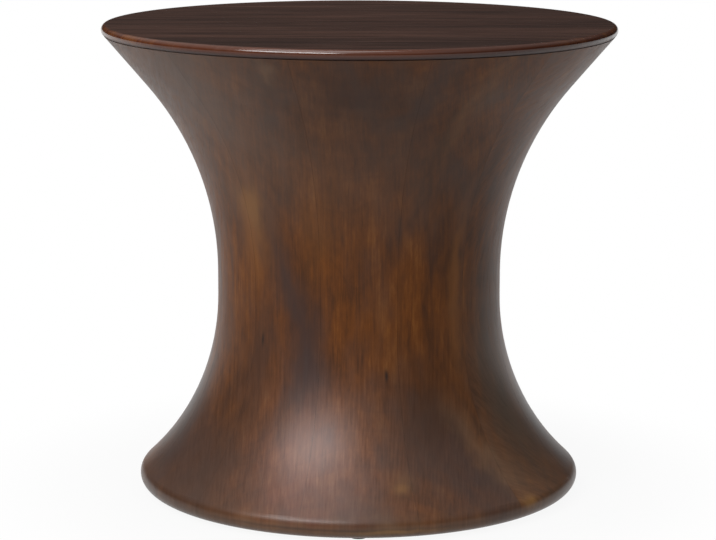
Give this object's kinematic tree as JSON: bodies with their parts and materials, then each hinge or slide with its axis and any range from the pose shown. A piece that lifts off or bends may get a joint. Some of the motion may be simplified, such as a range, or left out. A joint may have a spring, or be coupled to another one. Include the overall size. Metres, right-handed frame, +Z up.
{
  "type": "stool",
  "caption": "Round wooden hourglass stool with a half-round rimmed seat, a coopered body that narrows to a waist and flares to a rounded base, in dark satin lacquer.",
  "frame": {"origin": "on the floor, on the stool's axis, under the middle of the seat", "axes": "+Z up along the turned axis, out of the seat; +X along the seat boards; -Y to the picture's front"},
  "size_m": [0.5, 0.5, 0.46],
  "materials": {
    "stave_wood": "dark brown stained hardwood, long grain up the stave, satin lacquer",
    "seat_wood": "dark reddish brown stained hardwood, long grain along the board, satin lacquer",
    "head_plywood": "unfinished plywood",
    "dowel_wood": "unfinished beech",
    "screw_steel": "zinc plated steel",
    "glide_nylon": "dark brown moulded nylon"
  },
  "bodies": {
    "root": {"stave_01": "stave_wood", "stave_02": "stave_wood", "stave_03": "stave_wood", "stave_04": "stave_wood", "stave_05": "stave_wood", "stave_06": "stave_wood", "stave_07": "stave_wood", "stave_08": "stave_wood", "stave_09": "stave_wood", "stave_10": "stave_wood", "stave_11": "stave_wood", "stave_12": "stave_wood", "top_board_1": "seat_wood", "top_board_2": "seat_wood", "top_board_3": "seat_wood", "top_board_4": "seat_wood", "top_board_5": "seat_wood", "upper_head": "head_plywood", "base_head": "head_plywood", "stave_dowels": "dowel_wood", "board_dowels": "dowel_wood", "top_screws": "screw_steel", "base_screws": "screw_steel", "glide_nails": "screw_steel", "glide_1": "glide_nylon", "glide_2": "glide_nylon", "glide_3": "glide_nylon", "glide_4": "glide_nylon"}
  },
  "joints": []
}
